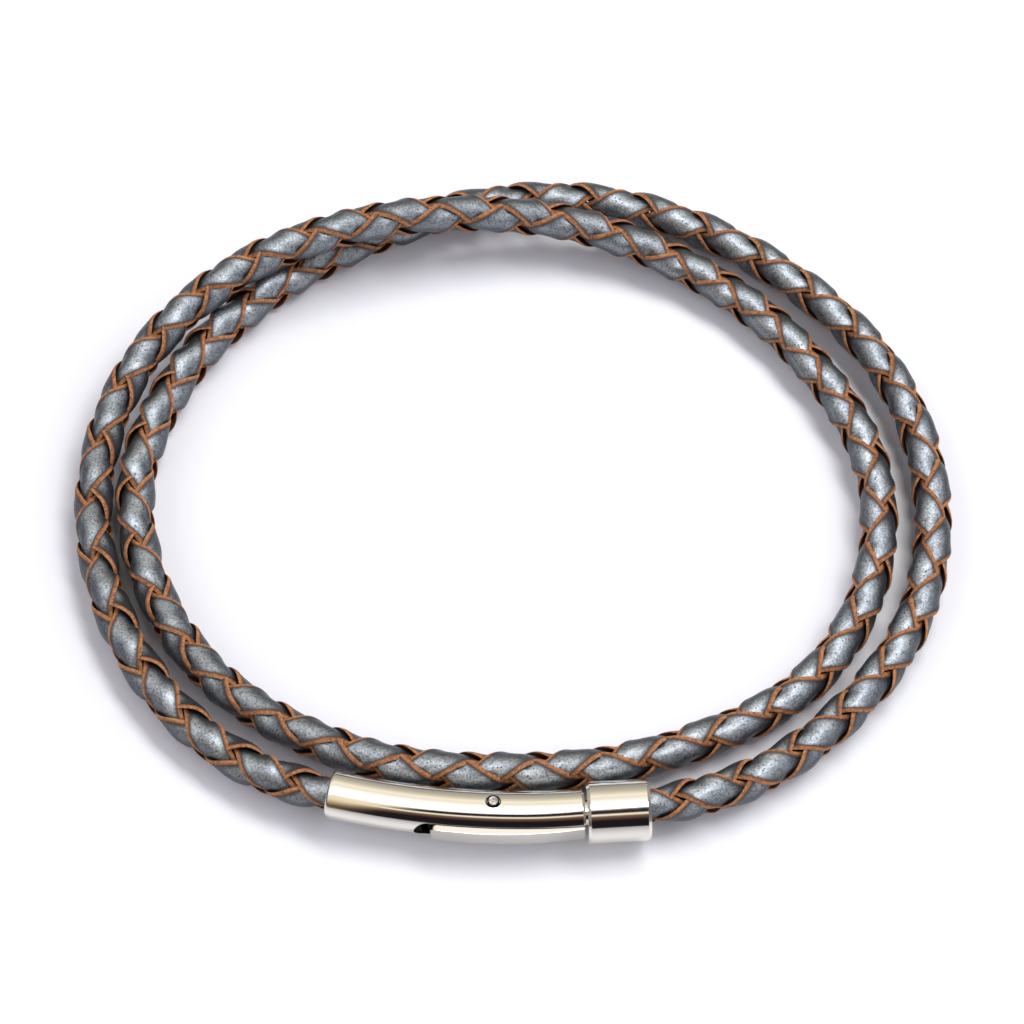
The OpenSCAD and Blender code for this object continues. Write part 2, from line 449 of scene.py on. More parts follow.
@dataclass(frozen=True)
class StripSection:
    """The cross section of one leather strip, in millimetres, seen along the cord.

    It runs round from the trailing cut edge over the grain face to the leading one,
    and back below along the flesh side.
    """

    half_width: float = 1.2
    slant: float = 0.05
    thickness: float = 0.34
    crown: float = 0.67
    corner: float = 0.13
    face_steps: int = 10
    corner_steps: int = 3
    wall_steps: int = 2
    back_steps: int = 6

    def outline(self) -> list[tuple[float, float]]:
        """Points of the section: across the strip, and out from its grain face's middle."""
        a, r, t = self.half_width, self.corner, self.thickness

        def placed(w: float, n: float) -> tuple[float, float]:
            """Slants the cut edges, and bows the strip round the cord."""
            w += math.copysign(self.slant * (-n / t), w) * (abs(w) / a) ** 2
            return w, n - self.crown * (w / a) ** 2

        face = [(-a + r + (2 * a - 2 * r) * i / self.face_steps, 0.0)
                for i in range(self.face_steps + 1)]
        turns = [(math.sin(q), math.cos(q)) for q in
                 (math.pi / 2 * i / (self.corner_steps + 1) for i in range(1, self.corner_steps + 1))]
        lead_top = [(a - r + r * s, -r + r * c) for s, c in turns]
        wall = [(a, -r - (t - 2 * r) * i / self.wall_steps) for i in range(self.wall_steps + 1)]
        lead_low = [(a - r + r * c, -t + r - r * s) for s, c in turns]
        back = [(a - r - (2 * a - 2 * r) * i / self.back_steps, -t)
                for i in range(self.back_steps + 1)]
        right = lead_top + wall + lead_low
        left = [(-w, n) for w, n in reversed(right)]
        return [placed(w, n) for w, n in face + right + back + left]

    @property
    def count(self) -> int:
        """How many points the section has."""
        return len(self.outline())

    @property
    def face_share(self) -> float:
        """Share of the way round, by points, that the grain face takes."""
        return self.face_steps / self.count

    @property
    def cut_half(self) -> float:
        """Share of the way round from the middle of a cut edge to its border."""
        return (self.corner_steps + 1 + self.wall_steps / 2) / self.count

    @property
    def cut_middles(self) -> tuple[float, float]:
        """Shares of the way round at the middles of the two cut edges."""
        return self.face_share + self.cut_half, 1 - self.cut_half

    def guide(self) -> bpy.types.Object:
        """The section as an object, read by the nodes point by point."""
        mesh = bpy.data.meshes.new("strip_section")
        mesh.from_pydata([(w, n, 0) for w, n in self.outline()], [], [])
        return linked("strip_section", mesh)


@dataclass(frozen=True)
class BraidLay:
    """How the strips lie in the braid: distances in millimetres, angles in degrees.

    Narrow is the share of its width that a strip keeps where it passes below, and the
    wander, an uneven lean that a strip has by hand, is in radians.
    """

    turn_l: float = 9.5
    top: float = 1.48
    below: float = 1.03
    narrow: float = 0.72
    lag: float = 12.0
    lean: float = 12.0
    lift: float = 12.0
    wander: float = 0.05
    wander_l: float = 2.3
    rings: int = 1800


class Braid:
    """The cord: four leather strips, laid along the route by one node tree."""

    INPUTS = (
        ("Section", "NodeSocketObject"), ("Section Points", "NodeSocketInt"),
        ("Rings", "NodeSocketInt"), ("Turn Length", "NodeSocketFloat"),
        ("Top Distance", "NodeSocketFloat"), ("Below Distance", "NodeSocketFloat"),
        ("Narrowing", "NodeSocketFloat"), ("Lag", "NodeSocketFloat"),
        ("Lean", "NodeSocketFloat"), ("Lift", "NodeSocketFloat"),
        ("Wander", "NodeSocketFloat"), ("Wander Length", "NodeSocketFloat"),
        ("Seed", "NodeSocketFloat"), ("Phase", "NodeSocketFloat"),
        ("Crossed", "NodeSocketInt"), ("Leather", "NodeSocketMaterial"))
    SEED_STEP = 7.3
    MERGE = 1e-6

    def __init__(self, route: CordRoute, section: StripSection, lay: BraidLay,
                 leather: bpy.types.Material) -> None:
        """Takes the route, the strip's section, the lay and the finish."""
        self.route, self.section, self.lay, self.leather = route, section, lay, leather

    def tree(self) -> bpy.types.NodeTree:
        """Builds the node tree that lays one strip.

        Returns:
            The tree, with a named input for each size.
        """
        tree = bpy.data.node_groups.new("braided_strip", "GeometryNodeTree")
        tree.interface.new_socket("Geometry", in_out="INPUT", socket_type="NodeSocketGeometry")
        for name, kind in self.INPUTS:
            tree.interface.new_socket(name, in_out="INPUT", socket_type=kind)
        tree.interface.new_socket("Geometry", in_out="OUTPUT", socket_type="NodeSocketGeometry")
        work = NodeWork(tree)
        given = work.add("NodeGroupInput")
        cord = work.add("GeometryNodeMeshToCurve", inputs={"Mesh": given})
        count, rings = given.out("Section Points"), given.out("Rings")
        grid = work.add("GeometryNodeMeshGrid", inputs={
            "Size X": 1.0, "Size Y": 1.0, "Vertices X": rings, "Vertices Y": count + 1})
        index = work.add("GeometryNodeInputIndex")
        ring = (index / (count + 1) + 1e-5).floor()
        step = index - ring * (count + 1)
        share = self._clamped(work, (ring - 1) / (rings - 3))
        body = ring.above(0.5) * ring.below(rings - 1.5)
        lay = work.add("GeometryNodeInputNamedAttribute", {"data_type": "FLOAT_VECTOR"},
                       {"Name": "lay"})
        at = work.add("GeometryNodeSampleCurve", {"data_type": "FLOAT_VECTOR", "mode": "FACTOR"},
                      {"Curves": cord, "Value": lay, "Factor": share})
        length = work.add("GeometryNodeCurveLength", inputs={"Curve": cord})
        run = share * length
        strip = self._strip_point(work, given, at, run, step, body)
        marks = work.add("ShaderNodeCombineXYZ", inputs={
            "X": run, "Y": step / count, "Z": 0.0})
        marked = work.add("GeometryNodeStoreNamedAttribute",
                          {"data_type": "FLOAT_VECTOR", "domain": "POINT"},
                          {"Geometry": grid, "Name": "strip", "Value": marks})
        laid = work.add("GeometryNodeSetPosition", inputs={"Geometry": marked, "Position": strip})
        read = work.add("GeometryNodeInputNamedAttribute", {"data_type": "FLOAT_VECTOR"},
                        {"Name": "strip"})
        mapped = work.add("GeometryNodeStoreNamedAttribute",
                          {"data_type": "FLOAT2", "domain": "CORNER"},
                          {"Geometry": laid, "Name": "UVMap", "Value": read})
        closed = work.add("GeometryNodeMergeByDistance", inputs={
            "Geometry": mapped, "Distance": self.MERGE})
        turned = work.add("GeometryNodeFlipFaces", inputs={
            "Mesh": closed, "Selection": given.out("Crossed")})
        smooth = work.add("GeometryNodeSetShadeSmooth", inputs={"Geometry": turned})
        solid = work.add("GeometryNodeRealizeInstances", inputs={"Geometry": smooth})
        dressed = work.add("GeometryNodeSetMaterial", inputs={
            "Geometry": solid, "Material": given.out("Leather")})
        work.add("NodeGroupOutput", inputs={"Geometry": dressed})
        return tree

    @staticmethod
    def _clamped(work: NodeWork, value: Value) -> Value:
        """The value, held between 0 and 1."""
        return work.add("ShaderNodeClamp", inputs={"Value": value})

    @staticmethod
    def _strip_point(work: NodeWork, given: Value, at: Value, run: Value, step: Value,
                     body: Value) -> Value:
        """Where one point of the strip's section lies.

        Args:
            work: The tree's node work.
            given: The group's inputs.
            at: The route, sampled at this ring.
            run: Length along the cord.
            step: Which point of the section this is.
            body: 0 at the two closing rings, else 1.

        Returns:
            The point's position.
        """
        crossed = given.out("Crossed")
        lay = work.add("ShaderNodeSeparateXYZ", inputs={"Vector": at})
        roll, size, pull = lay.out("X"), lay.out("Y"), lay.out("Z")
        phase = given.out("Phase") + (run + pull) * 2 * math.pi / given.out("Turn Length") \
            + crossed * (math.pi / 2)
        noise = work.add("ShaderNodeTexNoise", {"noise_dimensions": "2D"}, {
            "Vector": work.add("ShaderNodeCombineXYZ", inputs={
                "X": run / given.out("Wander Length"), "Y": given.out("Seed")}),
            "Scale": 1.0, "Detail": 1.0})
        stray = (noise - 0.5) * 2 * given.out("Wander")
        over = ((phase * 2).cos() + 1) / 2
        turn = phase - given.out("Lag") * (phase * 2).sin()
        lean = turn + given.out("Lean") * ((phase - given.out("Lift")) * 2).sin() + stray
        reach = given.out("Below Distance") \
            + (given.out("Top Distance") - given.out("Below Distance")) * over
        width = given.out("Narrowing") + (1 - given.out("Narrowing")) * over.step("SQRT", over)
        section = work.add("GeometryNodeObjectInfo", {"transform_space": "ORIGINAL"},
                           {"Object": given.out("Section")}, "Geometry")
        point = work.add("GeometryNodeSampleIndex", {"data_type": "FLOAT_VECTOR"}, {
            "Geometry": section, "Value": work.add("GeometryNodeInputPosition"),
            "Index": step - given.out("Section Points")
            * (step + 0.5).above(given.out("Section Points"))})
        parts = work.add("ShaderNodeSeparateXYZ", inputs={"Vector": point})
        across, out = parts.out("X") * width * body, parts.out("Y") * body
        x = turn.cos() * reach - lean.sin() * across + lean.cos() * out
        y = turn.sin() * reach + lean.cos() * across + lean.sin() * out
        px = x + (y - x) * crossed
        py = y + (x - y) * crossed
        side = work.vector("NORMALIZE", work.vector(
            "CROSS_PRODUCT", (0.0, 0.0, 1.0), at.out("Tangent")))
        up = work.vector("CROSS_PRODUCT", at.out("Tangent"), side)
        place = work.vector("ADD", at.out("Position"), work.scaled(
            side, (px * roll.cos() - py * roll.sin()) * size))
        return work.vector("ADD", place, work.scaled(
            up, (px * roll.sin() + py * roll.cos()) * size))

    def build(self) -> list[bpy.types.Object]:
        """Lays the four strips, each in place of its solid.

        Returns:
            The strips' objects.
        """
        tree = self.tree()
        names = {i.name: i.identifier for i in tree.interface.items_tree
                 if getattr(i, "in_out", "") == "INPUT"}
        guide, section = self.route.guide(), self.section.guide()
        lay, strips = self.lay, []
        ways = [(phase, hand) for phase in (0.0, math.pi) for hand in Hand]
        for number, (phase, hand) in enumerate(ways, start=1):
            base = linked("strip_base", guide.data.copy())
            nodes = base.modifiers.new("lay", "NODES")
            nodes.node_group = tree
            values = {
                "Section": section, "Section Points": self.section.count, "Rings": lay.rings,
                "Turn Length": lay.turn_l * MM, "Top Distance": lay.top,
                "Below Distance": lay.below, "Narrowing": lay.narrow,
                "Lag": math.radians(lay.lag), "Lean": math.radians(lay.lean),
                "Lift": math.radians(lay.lift), "Wander": lay.wander,
                "Wander Length": lay.wander_l * MM, "Seed": self.SEED_STEP * number,
                "Phase": phase, "Crossed": hand.value, "Leather": self.leather}
            for name, value in values.items():
                nodes[names[name]] = value
            strips.append(self._finished(base, number))
        for helper in (guide, section):
            bpy.data.objects.remove(helper)
        return strips

    @staticmethod
    def _finished(base: bpy.types.Object, number: int) -> bpy.types.Object:
        """Turns one laid strip into a plain mesh on the bracelet.

        Args:
            base: The guide object with the node tree on it.
            number: The strand that it stands for.

        Returns:
            The strip's own object.
        """
        view = bpy.context.evaluated_depsgraph_get()
        mesh = bpy.data.meshes.new_from_object(base.evaluated_get(view), depsgraph=view)
        bpy.data.objects.remove(base)
        mesh.name = f"leather_strip_{number}"
        strip = linked(f"leather_strip_{number}", mesh)
        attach(strip, "bracelet")
        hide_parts(f"strand_{number}")
        LOG.info("%s: %d faces", strip.name, len(mesh.polygons))
        return strip


# Turned and bent steel


def stretch(start: float, end: float, step: float) -> list[float]:
    """Even places from start to end, no more than a step apart."""
    count = max(1, math.ceil(abs(end - start) / step))
    return [start + (end - start) * i / count for i in range(count + 1)]


def eased(start: tuple[float, float], corner: tuple[float, float],
          end: tuple[float, float], steps: int = 7) -> list[tuple[float, float]]:
    """A quarter of an ellipse that rounds a corner.

    Args:
        start: Where the round leaves the first side.
        corner: The sharp corner that it takes off.
        end: Where it meets the second side.
        steps: Its facets.

    Returns:
        Its points.
    """
    points = []
    for i in range(steps + 1):
        s = 1 - math.sin(math.pi / 2 * i / steps)
        c = 1 - math.cos(math.pi / 2 * i / steps)
        points.append(tuple(k + (a - k) * s + (b - k) * c for a, k, b in zip(start, corner, end)))
    return points


def turned(profile: list[tuple[float, float]], place: Callable[[float, float, float], Vector],
           segments: int = 128) -> list[list[Vector]]:
    """Rings of a turned form.

    Args:
        profile: Place along the axis and radius, in order over the surface.
        place: Puts a place along, a distance outward and a height in space.
        segments: Points in a ring.

    Returns:
        One ring for each row of the profile.
    """
    turns = [2 * math.pi * i / segments for i in range(segments)]
    return [[place(along, r * math.cos(q), r * math.sin(q)) for q in turns]
            for along, r in profile]


class Shell:
    """Collects closed surfaces, each made of rings of points in millimetres, into one piece."""

    SHARP = math.radians(20)

    def __init__(self) -> None:
        """Starts empty."""
        self.form = bmesh.new()

    def add(self, rings: list[list[Vector]], looped: bool = False) -> "Shell":
        """Joins each ring to the next, and closes the ends.

        Args:
            rings: Rings of equally many points.
            looped: True where the last ring joins the first, as in a tube's wall.

        Returns:
            This shell.
        """
        rows = [[self.form.verts.new(p) for p in ring] for ring in rings]
        pairs = list(zip(rows, rows[1:])) + ([(rows[-1], rows[0])] if looped else [])
        for one, two in pairs:
            for i, corner in enumerate(one):
                j = (i + 1) % len(one)
                self.form.faces.new((corner, one[j], two[j], two[i]))
        if not looped:
            self.form.faces.new(rows[0])
            self.form.faces.new(rows[-1])
        return self

    def mesh(self, name: str) -> bpy.types.Mesh:
        """The surfaces as a mesh whose faces point outwards."""
        bmesh.ops.recalc_face_normals(self.form, faces=self.form.faces)
        mesh = bpy.data.meshes.new(name)
        self.form.to_mesh(mesh)
        self.form.free()
        return mesh

    def piece(self, name: str, cutters: tuple["Shell", ...] = ()) -> bpy.types.Object:
        """Makes the piece, with the cutters taken away from it.

        Args:
            name: The piece's name.
            cutters: Shells that are cut out.

        Returns:
            An object with a plain mesh in metres, smooth apart from its edges.
        """
        piece = linked(name, self.mesh(name))
        tools = [linked("cutter", cutter.mesh("cutter")) for cutter in cutters]
        for tool in tools:
            cut = piece.modifiers.new("cut", "BOOLEAN")
            cut.operation, cut.solver, cut.object = "DIFFERENCE", "EXACT", tool
        view = bpy.context.evaluated_depsgraph_get()
        made = bpy.data.meshes.new_from_object(piece.evaluated_get(view), depsgraph=view)
        piece.modifiers.clear()
        piece.data = made
        made.name = name
        for tool in tools:
            bpy.data.objects.remove(tool)
        made.transform(Matrix.Scale(MM, 4))
        made.shade_smooth()
        made.set_sharp_from_angle(angle=self.SHARP)
        return piece


def mounted(piece: bpy.types.Object, body: str, node: str, slot: str,
            finish: bpy.types.Material) -> bpy.types.Object:
    """Dresses a finished piece and puts it in place of its solid.

    Args:
        piece: The piece.
        body: The body that it rides on.
        node: The node that it stands for.
        slot: The record's material slot; not used.
        finish: Its material.

    Returns:
        The same piece.
    """
    piece.data.materials.clear()
    piece.data.materials.append(finish)
    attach(piece, body)
    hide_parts(node)
    LOG.info("%s: %d faces, in place of %s", piece.name, len(piece.data.polygons), node)
    return piece


class ClaspPiece:
    """A piece of the clasp, with the body that it rides on and the node that it replaces."""

    BODY = "bracelet"
    NODE = ""
    SLOT = "polished_steel"

    def shape(self, bend: ClaspBend) -> bpy.types.Object:
        """Makes the bare piece; each kind of piece has its own way."""
        raise NotImplementedError

    def build(self, bend: ClaspBend, finish: bpy.types.Material) -> bpy.types.Object:
        """Builds the piece in place of its solid.

        Args:
            bend: The clasp's bend.
            finish: Its material.

        Returns:
            The piece's object.
        """
        return mounted(self.shape(bend), self.BODY, self.NODE, self.SLOT, finish)


@dataclass(frozen=True)
class ClaspPin(ClaspPiece):
    """The pin that the lever turns on: a round steel pin, ground flush at both ends."""

    NODE = "lever_pin"
    SLOT = "riveted_steel"

    angle: float = -2.01
    inset: float = 0.36
    radius: float = 0.41
    face_radius: float = 0.34
    half_l: float = 1.66
    edge: float = 0.09
    hole_radius: float = 0.48
    sink_radius: float = 0.56
    sink_depth: float = 0.1
    bore_reach: float = 2.2
    play: float = 0.02
    centre: float = 0.02

    def place(self, bend: ClaspBend) -> Callable[[float, float, float], Vector]:
        """Puts height along the pin, and two distances across it, in space."""
        middle = bend.at(self.angle, -self.inset)

        def put(along: float, outward: float, up: float) -> Vector:
            """Stands the pin upright."""
            return middle + Vector((outward, up, along))

        return put

    def hole(self, bend: ClaspBend) -> Shell:
        """What the pin's hole, sunk a little at both ends, takes out of the barrel."""
        top, reach = self.half_l + self.play, self.bore_reach
        flare = self.sink_radius + (reach - top) * (self.sink_radius - self.hole_radius) \
            / self.sink_depth
        profile = [(-reach, flare), (-top, self.sink_radius),
                   (self.sink_depth - top, self.hole_radius),
                   (top - self.sink_depth, self.hole_radius),
                   (top, self.sink_radius), (reach, flare)]
        return Shell().add(turned(profile, self.place(bend), 64))

    def shape(self, bend: ClaspBend) -> bpy.types.Object:
        """The pin, turned."""
        end, r, f, mid = self.half_l, self.radius, self.face_radius, self.centre
        upper = eased((end - self.edge, r), (end, r), (end, f))
        lower = [(-along, radius) for along, radius in reversed(upper)]
        core = [(-end, mid), (-end, f - mid)] + lower + upper + [(end, f - mid), (end, mid)]
        return Shell().add(turned(core, self.place(bend), 64)).piece("rivet_pin")


@dataclass(frozen=True)
class ClaspLever(ClaspPiece):
    """The lever: a bowed bar that fills the barrel's slot, with its eye, web and hook."""

    BODY = "lever"
    NODE = "clasp_lever"

    height: float = 1.75
    inner: float = 1.0
    reach: float = 1.89
    bow_radius: float = 35.3
    bow_angle: float = -2.6
    nose_angle: float = -6.25
    nose_round: float = 0.5
    nose_ease: float = 0.22
    end_gap: float = 0.06
    edge: float = 0.03
    tail_ease: float = 0.05
    eye_radius: float = 0.7
    web_half: float = 0.5
    web_near: float = 0.25
    web_far: float = 1.25
    hook_angle: float = 3.3
    hook_half: float = 0.45
    hook_near: float = 0.64
    hook_far: float = 1.24
    pin: ClaspPin = ClaspPin()

    def bow(self, bend: ClaspBend, angle: float) -> float:
        """How far the bowed face stands out from the bend's line at an angle."""
        middle = bend.radius + self.reach - self.bow_radius
        turn = math.radians(angle - self.bow_angle)
        reach = math.sqrt(self.bow_radius**2 - (middle * math.sin(turn))**2)
        return middle * math.cos(turn) + reach - bend.radius

    def section(self, outer: float, half: float) -> list[tuple[float, float]]:
        """The bar's section: outward and up, with its two outer edges eased."""
        q, hold = min(self.edge, half * 0.8), 0.03
        upper = [(outer, half - q - hold)] + eased((outer, half - q), (outer, half),
                                                   (outer - q, half)) + [(outer - q - hold, half)]
        lower = [(a, -b) for a, b in reversed(upper)]
        return [(self.inner, -half)] + lower + upper + [(self.inner, half)]

    def bar(self, bend: ClaspBend) -> list[list[Vector]]:
        """Rings of the bowed bar, from its round nose to its square end."""
        end = bend.barrel_end - self.end_gap
        length = (end - self.nose_angle) / bend.degrees
        nose = [self.nose_round * (1 - math.cos(math.pi / 2 * i / 8)) for i in range(9)]
        ease_from = length - self.tail_ease
        tail = [ease_from, length - 0.4 * self.tail_ease, length]
        places = nose + stretch(self.nose_round, ease_from, 0.3)[1:-1] + tail
        rings = []
        for d in places:
            angle = self.nose_angle + d * bend.degrees
            back = max(0.0, self.nose_round - d)
            half = self.height / 2 - self.nose_round + math.sqrt(self.nose_round**2 - back**2)
            back = max(0.0, self.nose_ease - d)
            outer = self.bow(bend, angle) - self.nose_ease \
                + math.sqrt(self.nose_ease**2 - back**2)
            drawn = max(0.0, d - ease_from)
            rings.append([bend.at(angle, a, b) for a, b in
                          self.section(outer - drawn, half - drawn)])
        return rings

    def block(self, bend: ClaspBend, angle: float, half_l: float, near: float,
              far: float) -> list[list[Vector]]:
        """Rings of a square block as high as the bar."""
        h = self.height / 2
        corners = ((near, -h), (far, -h), (far, h), (near, h))
        return [[bend.at(angle, a, b, ahead) for a, b in corners] for ahead in (-half_l, half_l)]

    def shape(self, bend: ClaspBend) -> bpy.types.Object:
        """The bar with its eye, web and hook, as shells that reach into each other."""
        h, bore = self.height / 2, self.pin.hole_radius - self.pin.play
        eye = [(-h, bore), (-h, self.eye_radius), (h, self.eye_radius), (h, bore)]
        lever = Shell().add(self.bar(bend))
        lever.add(turned(eye, self.pin.place(bend), 64), looped=True)
        lever.add(self.block(bend, self.pin.angle, self.web_half, self.web_near, self.web_far))
        lever.add(self.block(bend, self.hook_angle, self.hook_half, self.hook_near,
                             self.hook_far))
        return lever.piece("bowed_lever")


@dataclass(frozen=True)
class ClaspBarrel(ClaspPiece):
    """The barrel: a bent tube with a socket at one end and the lever's slot at the other."""

    NODE = "clasp_barrel"

    radius: float = 1.7
    socket_radius: float = 1.4
    bore_radius: float = 0.95
    ease_l: float = 0.3
    ease_r: float = 0.16
    lip_l: float = 0.17
    lip_r: float = 0.08
    inner_ease: float = 0.06
    slot_angle: float = -6.4
    slot_h: float = 1.91
    slot_depth: float = 2.6
    slot_over: float = 0.5
    relief_radius: float = 0.81
    relief_gap: float = 0.03
    pin: ClaspPin = ClaspPin()

    def profile(self, bend: ClaspBend) -> list[tuple[float, float]]:
        """The tube's surface, from the socket's floor over the outside to the bore's."""
        r, s, b, q, end = (self.radius, self.socket_radius, self.bore_radius,
                           self.inner_ease, bend.barrel_l)
        slot = (self.slot_angle - bend.barrel_start) / bend.degrees
        socket = [(u, s) for u in stretch(bend.socket_l, q, 0.4)[:-1]]
        mouth = eased((q, s), (0, s), (0, s + q)) + eased((0, r - self.ease_r), (0, r),
                                                          (self.ease_l, r))
        outside = [(u, r) for u in stretch(self.ease_l, end - self.lip_l, 0.25)[1:]]
        rim = [(end, r - self.lip_r)] + eased((end, b + q), (end, b), (end - q, b))
        bore = [(u, b) for u in stretch(end - q, slot, 0.4)[1:]]
        return socket + mouth + outside + rim + bore

    def slot(self, bend: ClaspBend) -> Shell:
        """What the slot takes out: a band with one round end, open towards the ring."""
        r, end = self.slot_h / 2, bend.barrel_l + self.slot_over
        start = (self.slot_angle - bend.barrel_start) / bend.degrees
        upper = [(start - r * math.sin(q), r * math.cos(q)) for q in stretch(0, math.pi / 2, 0.08)]
        straight = [(u, r) for u in stretch(end, start, 0.3)[:-1]]
        outline = straight + upper
        outline += [(u, -w) for u, w in reversed(outline[:-1])]
        return Shell().add([[bend.on_barrel(u, depth, w) for u, w in outline]
                            for depth in (0.0, self.slot_depth)])

    def shape(self, bend: ClaspBend) -> bpy.types.Object:
        """The bent tube, with the slot, the pin's hole and the eye's room cut out."""
        high = self.slot_h / 2 - self.relief_gap
        relief = [(-high, self.relief_radius), (high, self.relief_radius)]
        cutters = (self.pin.hole(bend), self.slot(bend),
                   Shell().add(turned(relief, self.pin.place(bend), 60)))
        tube = Shell().add(turned(self.profile(bend), bend.on_barrel))
        return tube.piece("bent_barrel", cutters)


@dataclass(frozen=True)
class EndRing(ClaspPiece):
    """The end ring: a short straight collar with a tongue that plugs into the barrel."""

    NODE = "clasp_ring"

    radius: float = 2.18
    socket_radius: float = 1.4
    lip_l: float = 0.22
    lip_r: float = 0.12
    inner_ease: float = 0.1
    tongue_radius: float = 0.9
    tongue_angle: float = -0.6
    tongue_ease: float = 0.2
    tongue_root: float = 0.5
    groove_half: float = 0.7
    groove_depth: float = 0.38
    centre: float = 0.02
    lever: ClaspLever = ClaspLever()

    def collar(self, bend: ClaspBend) -> list[list[Vector]]:
        """Rings of the collar, from its closed face to its socket's floor."""
        r, s, q, end = self.radius, self.socket_radius, self.inner_ease, bend.ring_l / 2
        floor = end - bend.ring_socket_l
        profile = [(-end, self.centre), (-end, r - self.lip_r), (self.lip_l - end, r)]
        profile += [(u, r) for u in stretch(self.lip_l - end, end - self.lip_l, 0.5)[1:]]
        profile += [(end, r - self.lip_r)] + eased((end, s + q), (end, s), (end - q, s))
        profile += [(floor, s), (floor, self.centre)]
        return turned(profile, bend.on_ring)

    def tongue(self, bend: ClaspBend) -> list[list[Vector]]:
        """Rings of the tongue, flattened where the lever's hook catches."""
        end = bend.ring_start + self.tongue_root * bend.degrees
        length = (end - self.tongue_angle) / bend.degrees
        hook = (self.lever.hook_angle - self.tongue_angle) / bend.degrees
        r, q = self.tongue_radius, self.tongue_ease
        flat = r - self.groove_depth
        tip = eased((0.0, r - q), (0.0, r), (q, r))
        places = tip + [(u, r) for u in stretch(q, length, 0.1)[1:]]

        def put(along: float, outward: float, up: float) -> Vector:
            """Places a point of the tongue."""
            if abs(along - hook) < self.groove_half:
                outward = min(outward, flat)
            return bend.at(self.tongue_angle + along * bend.degrees, outward, up)

        return turned(places, put, 64)

    def shape(self, bend: ClaspBend) -> bpy.types.Object:
        """The collar with its tongue."""
        return Shell().add(self.collar(bend)).add(self.tongue(bend)).piece("end_ring")


# Finishes


